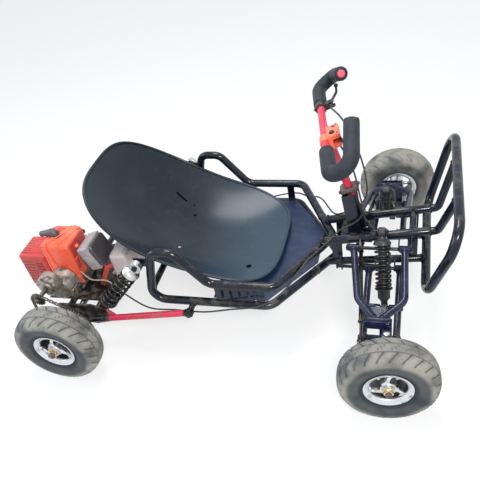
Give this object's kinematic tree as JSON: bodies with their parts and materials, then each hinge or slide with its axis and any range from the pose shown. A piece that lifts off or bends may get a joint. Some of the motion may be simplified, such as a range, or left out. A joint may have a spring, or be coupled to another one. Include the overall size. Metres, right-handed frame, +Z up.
{
  "type": "racing kart",
  "caption": "Low single-seat tube-frame kart with bucket seat, sprung arms at every wheel, looped handlebar and a small rear engine with chain drive.",
  "frame": {"origin": "on the ground, under the middle of the outer box", "axes": "+X forward along the longest extent, +Y to the driver's left, +Z up"},
  "size_m": [1.3231, 0.9588, 0.7022],
  "materials": {
    "black_plastic": "satin",
    "bright_steel": "satin",
    "cable_sheath": "matte",
    "dark_steel": "satin",
    "engine_casting": "rough",
    "foam_grip": "matte",
    "frame_paint": "gloss",
    "grey_plastic": "satin",
    "orange_plastic": "satin",
    "pan_paint": "satin",
    "red_paint": "gloss",
    "red_plastic": "satin",
    "rim_silver": "satin",
    "seat_plastic": "satin",
    "spring_black": "gloss",
    "tank_plastic": "satin",
    "tyre_rubber": "matte"
  },
  "bodies": {
    "chassis": {"side_frame_right": "frame_paint", "side_frame_left": "frame_paint", "front_frame": "frame_paint", "bumper": "frame_paint", "floor_pan": "pan_paint", "seat_shell": "seat_plastic", "steering_post": "frame_paint", "column_clamp": "bright_steel", "throttle_cable": "cable_sheath", "brake_cable": "cable_sheath"},
    "steering": {"handlebar": "red_paint", "grip_right": "foam_grip", "grip_left": "foam_grip", "brake_perch": "black_plastic", "throttle_housing": "orange_plastic"},
    "brake_lever": {"brake_lever": "black_plastic"},
    "throttle_trigger": {"throttle_trigger": "black_plastic"},
    "swing": {"swing_frame": "frame_paint", "engine_block": "engine_casting", "engine_shroud": "orange_plastic", "muffler_guard": "red_plastic", "air_filter": "grey_plastic", "fuel_tank": "tank_plastic", "gearbox": "engine_casting", "drive_chain": "dark_steel"},
    "rear_axle": {"rear_axle": "dark_steel", "rear_rim_right": "rim_silver", "rear_rim_left": "rim_silver", "rear_tyre_right": "tyre_rubber", "rear_tyre_left": "tyre_rubber"},
    "drive_sprocket": {"drive_sprocket": "dark_steel"},
    "starter_handle": {"starter_handle": "black_plastic"},
    "lower_arm_right": {"lower_arm_right": "frame_paint"},
    "upper_arm_right": {"upper_arm_right": "frame_paint"},
    "upright_right": {"upright_right": "frame_paint"},
    "knuckle_right": {"knuckle_right": "bright_steel"},
    "front_wheel_right": {"front_rim_right": "rim_silver", "front_tyre_right": "tyre_rubber"},
    "front_damper_right": {"front_damper_right_body": "black_plastic", "front_damper_right_spring": "spring_black"},
    "front_damper_rod_right": {"front_damper_right_rod": "bright_steel"},
    "rear_damper_right": {"rear_damper_right_body": "black_plastic", "rear_damper_right_spring": "spring_black"},
    "rear_damper_rod_right": {"rear_damper_right_rod": "bright_steel"},
    "tie_ball_right": {"tie_rod_ball_right": "bright_steel"},
    "tie_rod_right": {"tie_rod_right": "bright_steel"},
    "lower_arm_left": {"lower_arm_left": "frame_paint"},
    "upper_arm_left": {"upper_arm_left": "frame_paint"},
    "upright_left": {"upright_left": "frame_paint"},
    "knuckle_left": {"knuckle_left": "bright_steel"},
    "front_wheel_left": {"front_rim_left": "rim_silver", "front_tyre_left": "tyre_rubber"},
    "front_damper_left": {"front_damper_left_body": "black_plastic", "front_damper_left_spring": "spring_black"},
    "front_damper_rod_left": {"front_damper_left_rod": "bright_steel"},
    "rear_damper_left": {"rear_damper_left_body": "black_plastic", "rear_damper_left_spring": "spring_black"},
    "rear_damper_rod_left": {"rear_damper_left_rod": "bright_steel"},
    "tie_ball_left": {"tie_rod_ball_left": "bright_steel"},
    "tie_rod_left": {"tie_rod_left": "bright_steel"}
  },
  "joints": [
    {"name": "steering_turn", "type": "hinge", "parent": "chassis", "child": "steering", "pos_m": [0.36525, 0, 0.413], "axis": [-0.2951, 0, 0.9555], "range_deg": [-52.2, 27.8], "deforming": ["throttle_cable", "brake_cable"]},
    {"name": "brake_lever_pull", "type": "hinge", "parent": "steering", "child": "brake_lever", "pos_m": [0.31044, 0.12168, 0.6053], "axis": [-0.2951, 0, 0.9555], "range_deg": [0, 12], "stiffness_Nm_per_rad": 1, "springref_deg": -17.19},
    {"name": "throttle_pull", "type": "hinge", "parent": "steering", "child": "throttle_trigger", "pos_m": [0.34545, -0.05252, 0.61611], "axis": [0.2951, 0, -0.9555], "range_deg": [0, 15], "stiffness_Nm_per_rad": 0.5, "springref_deg": -17.19},
    {"name": "lower_arm_right_swing", "type": "hinge", "parent": "chassis", "child": "lower_arm_right", "pos_m": [0.46725, -0.08, 0.187], "axis": [-1, 0, 0], "range_deg": [-6, 9], "stiffness_Nm_per_rad": 1200, "springref_deg": -2.86},
    {"name": "upper_arm_right_swing", "type": "hinge", "parent": "chassis", "child": "upper_arm_right", "pos_m": [0.46325, -0.08, 0.262], "axis": [-1, 0, 0], "range_deg": [-6.1, 9.1]},
    {"name": "upright_right_level", "type": "hinge", "parent": "lower_arm_right", "child": "upright_right", "pos_m": [0.46725, -0.3, 0.132], "axis": [-1, 0, 0], "range_deg": [-9.1, 6.1]},
    {"name": "knuckle_right_turn", "type": "hinge", "parent": "upright_right", "child": "knuckle_right", "pos_m": [0.48825, -0.335, 0.13], "axis": [0, 0, 1], "range_deg": [-24.11, 12.89]},
    {"name": "front_wheel_right_spin", "type": "hinge", "parent": "knuckle_right", "child": "front_wheel_right", "pos_m": [0.49715, -0.42556, 0.13], "axis": [-0.0978, 0.9952, 0], "continuous": true},
    {"name": "front_damper_right_swing", "type": "hinge", "parent": "chassis", "child": "front_damper_right", "pos_m": [0.46025, -0.095, 0.335], "axis": [-1, 0, 0], "range_deg": [-2.66, 4]},
    {"name": "front_damper_right_slide", "type": "slide", "parent": "front_damper_right", "child": "front_damper_rod_right", "axis": [0.0664, -0.5219, -0.8504], "range_m": [-0.01475, 0.00983], "deforming": ["front_damper_right_spring"]},
    {"name": "rear_damper_right_swing", "type": "hinge", "parent": "chassis", "child": "rear_damper_right", "pos_m": [-0.21175, -0.262, 0.32], "axis": [0, 1, 0], "range_deg": [-2.88, 4.8]},
    {"name": "rear_damper_right_slide", "type": "slide", "parent": "rear_damper_right", "child": "rear_damper_rod_right", "axis": [-0.669, 0, -0.7433], "range_m": [-0.0179, 0.01074], "deforming": ["rear_damper_right_spring"]},
    {"name": "tie_ball_right_turn", "type": "hinge", "parent": "steering", "child": "tie_ball_right", "pos_m": [0.39472, -0.02111, 0.22733], "axis": [-0.2951, 0, 0.9555], "range_deg": [-28.87, 54.13]},
    {"name": "tie_rod_right_swing", "type": "hinge", "parent": "tie_ball_right", "child": "tie_rod_right", "pos_m": [0.39472, -0.02111, 0.22733], "axis": [-1, 0, 0], "range_deg": [-4.1, 6.15]},
    {"name": "lower_arm_left_swing", "type": "hinge", "parent": "chassis", "child": "lower_arm_left", "pos_m": [0.46725, 0.08, 0.187], "axis": [1, 0, 0], "range_deg": [-6, 9], "stiffness_Nm_per_rad": 1200, "springref_deg": -2.86},
    {"name": "upper_arm_left_swing", "type": "hinge", "parent": "chassis", "child": "upper_arm_left", "pos_m": [0.46325, 0.08, 0.262], "axis": [1, 0, 0], "range_deg": [-6.1, 9.1]},
    {"name": "upright_left_level", "type": "hinge", "parent": "lower_arm_left", "child": "upright_left", "pos_m": [0.46725, 0.3, 0.132], "axis": [1, 0, 0], "range_deg": [-9.1, 6.1]},
    {"name": "knuckle_left_turn", "type": "hinge", "parent": "upright_left", "child": "knuckle_left", "pos_m": [0.48825, 0.335, 0.13], "axis": [0, 0, 1], "range_deg": [-24.11, 12.89]},
    {"name": "front_wheel_left_spin", "type": "hinge", "parent": "knuckle_left", "child": "front_wheel_left", "pos_m": [0.47935, 0.42556, 0.13], "axis": [-0.0978, 0.9952, 0], "continuous": true},
    {"name": "front_damper_left_swing", "type": "hinge", "parent": "chassis", "child": "front_damper_left", "pos_m": [0.46025, 0.095, 0.335], "axis": [1, 0, 0], "range_deg": [-2.66, 4]},
    {"name": "front_damper_left_slide", "type": "slide", "parent": "front_damper_left", "child": "front_damper_rod_left", "axis": [0.0664, 0.5219, -0.8504], "range_m": [-0.01475, 0.00983], "deforming": ["front_damper_left_spring"]},
    {"name": "rear_damper_left_swing", "type": "hinge", "parent": "chassis", "child": "rear_damper_left", "pos_m": [-0.21175, 0.262, 0.32], "axis": [0, 1, 0], "range_deg": [-2.88, 4.8]},
    {"name": "rear_damper_left_slide", "type": "slide", "parent": "rear_damper_left", "child": "rear_damper_rod_left", "axis": [-0.669, 0, -0.7433], "range_m": [-0.0179, 0.01074], "deforming": ["rear_damper_left_spring"]},
    {"name": "tie_ball_left_turn", "type": "hinge", "parent": "steering", "child": "tie_ball_left", "pos_m": [0.38866, 0.00822, 0.22546], "axis": [-0.2951, 0, 0.9555], "range_deg": [-28.87, 54.13]},
    {"name": "tie_rod_left_swing", "type": "hinge", "parent": "tie_ball_left", "child": "tie_rod_left", "pos_m": [0.38866, 0.00822, 0.22546], "axis": [1, 0, 0], "range_deg": [-4.1, 6.15]},
    {"name": "rear_swing", "type": "hinge", "parent": "chassis", "child": "swing", "pos_m": [-0.07475, 0, 0.172], "axis": [0, 1, 0], "range_deg": [-3, 5], "stiffness_Nm_per_rad": 4000, "springref_deg": -1.72, "deforming": ["throttle_cable", "brake_cable"]},
    {"name": "rear_axle_spin", "type": "hinge", "parent": "swing", "child": "rear_axle", "pos_m": [-0.46175, 0, 0.13], "axis": [0, 1, 0], "continuous": true},
    {"name": "drive_sprocket_spin", "type": "hinge", "parent": "swing", "child": "drive_sprocket", "pos_m": [-0.51675, -0.345, 0.245], "axis": [0, 1, 0], "continuous": true},
    {"name": "starter_pull", "type": "slide", "parent": "swing", "child": "starter_handle", "axis": [0, 0, 1], "range_m": [0, 0.6], "stiffness_N_per_m": 10, "springref_m": -0.4}
  ],
  "couplings": [
    {"joint": "upper_arm_right_swing", "follows": "lower_arm_right_swing", "ratio": 1},
    {"joint": "upright_right_level", "follows": "lower_arm_right_swing", "ratio": -1},
    {"joint": "knuckle_right_turn", "follows": "steering_turn", "ratio": 0.46},
    {"joint": "front_damper_right_swing", "follows": "lower_arm_right_swing", "ratio": 0.43531},
    {"joint": "front_damper_right_slide", "follows": "lower_arm_right_swing", "m_per_rad": -0.09203},
    {"joint": "rear_damper_right_swing", "follows": "rear_swing", "ratio": 0.94042},
    {"joint": "rear_damper_right_slide", "follows": "rear_swing", "m_per_rad": -0.20112},
    {"joint": "tie_ball_right_turn", "follows": "steering_turn", "ratio": -1.035},
    {"joint": "tie_rod_right_swing", "follows": "lower_arm_right_swing", "ratio": 0.6701},
    {"joint": "upper_arm_left_swing", "follows": "lower_arm_left_swing", "ratio": 1},
    {"joint": "upright_left_level", "follows": "lower_arm_left_swing", "ratio": -1},
    {"joint": "knuckle_left_turn", "follows": "steering_turn", "ratio": 0.46},
    {"joint": "front_damper_left_swing", "follows": "lower_arm_left_swing", "ratio": 0.43531},
    {"joint": "front_damper_left_slide", "follows": "lower_arm_left_swing", "m_per_rad": -0.09203},
    {"joint": "rear_damper_left_swing", "follows": "rear_swing", "ratio": 0.94042},
    {"joint": "rear_damper_left_slide", "follows": "rear_swing", "m_per_rad": -0.20112},
    {"joint": "tie_ball_left_turn", "follows": "steering_turn", "ratio": -1.035},
    {"joint": "tie_rod_left_swing", "follows": "lower_arm_left_swing", "ratio": 0.67014},
    {"joint": "drive_sprocket_spin", "follows": "rear_axle_spin", "ratio": 4.125}
  ]
}
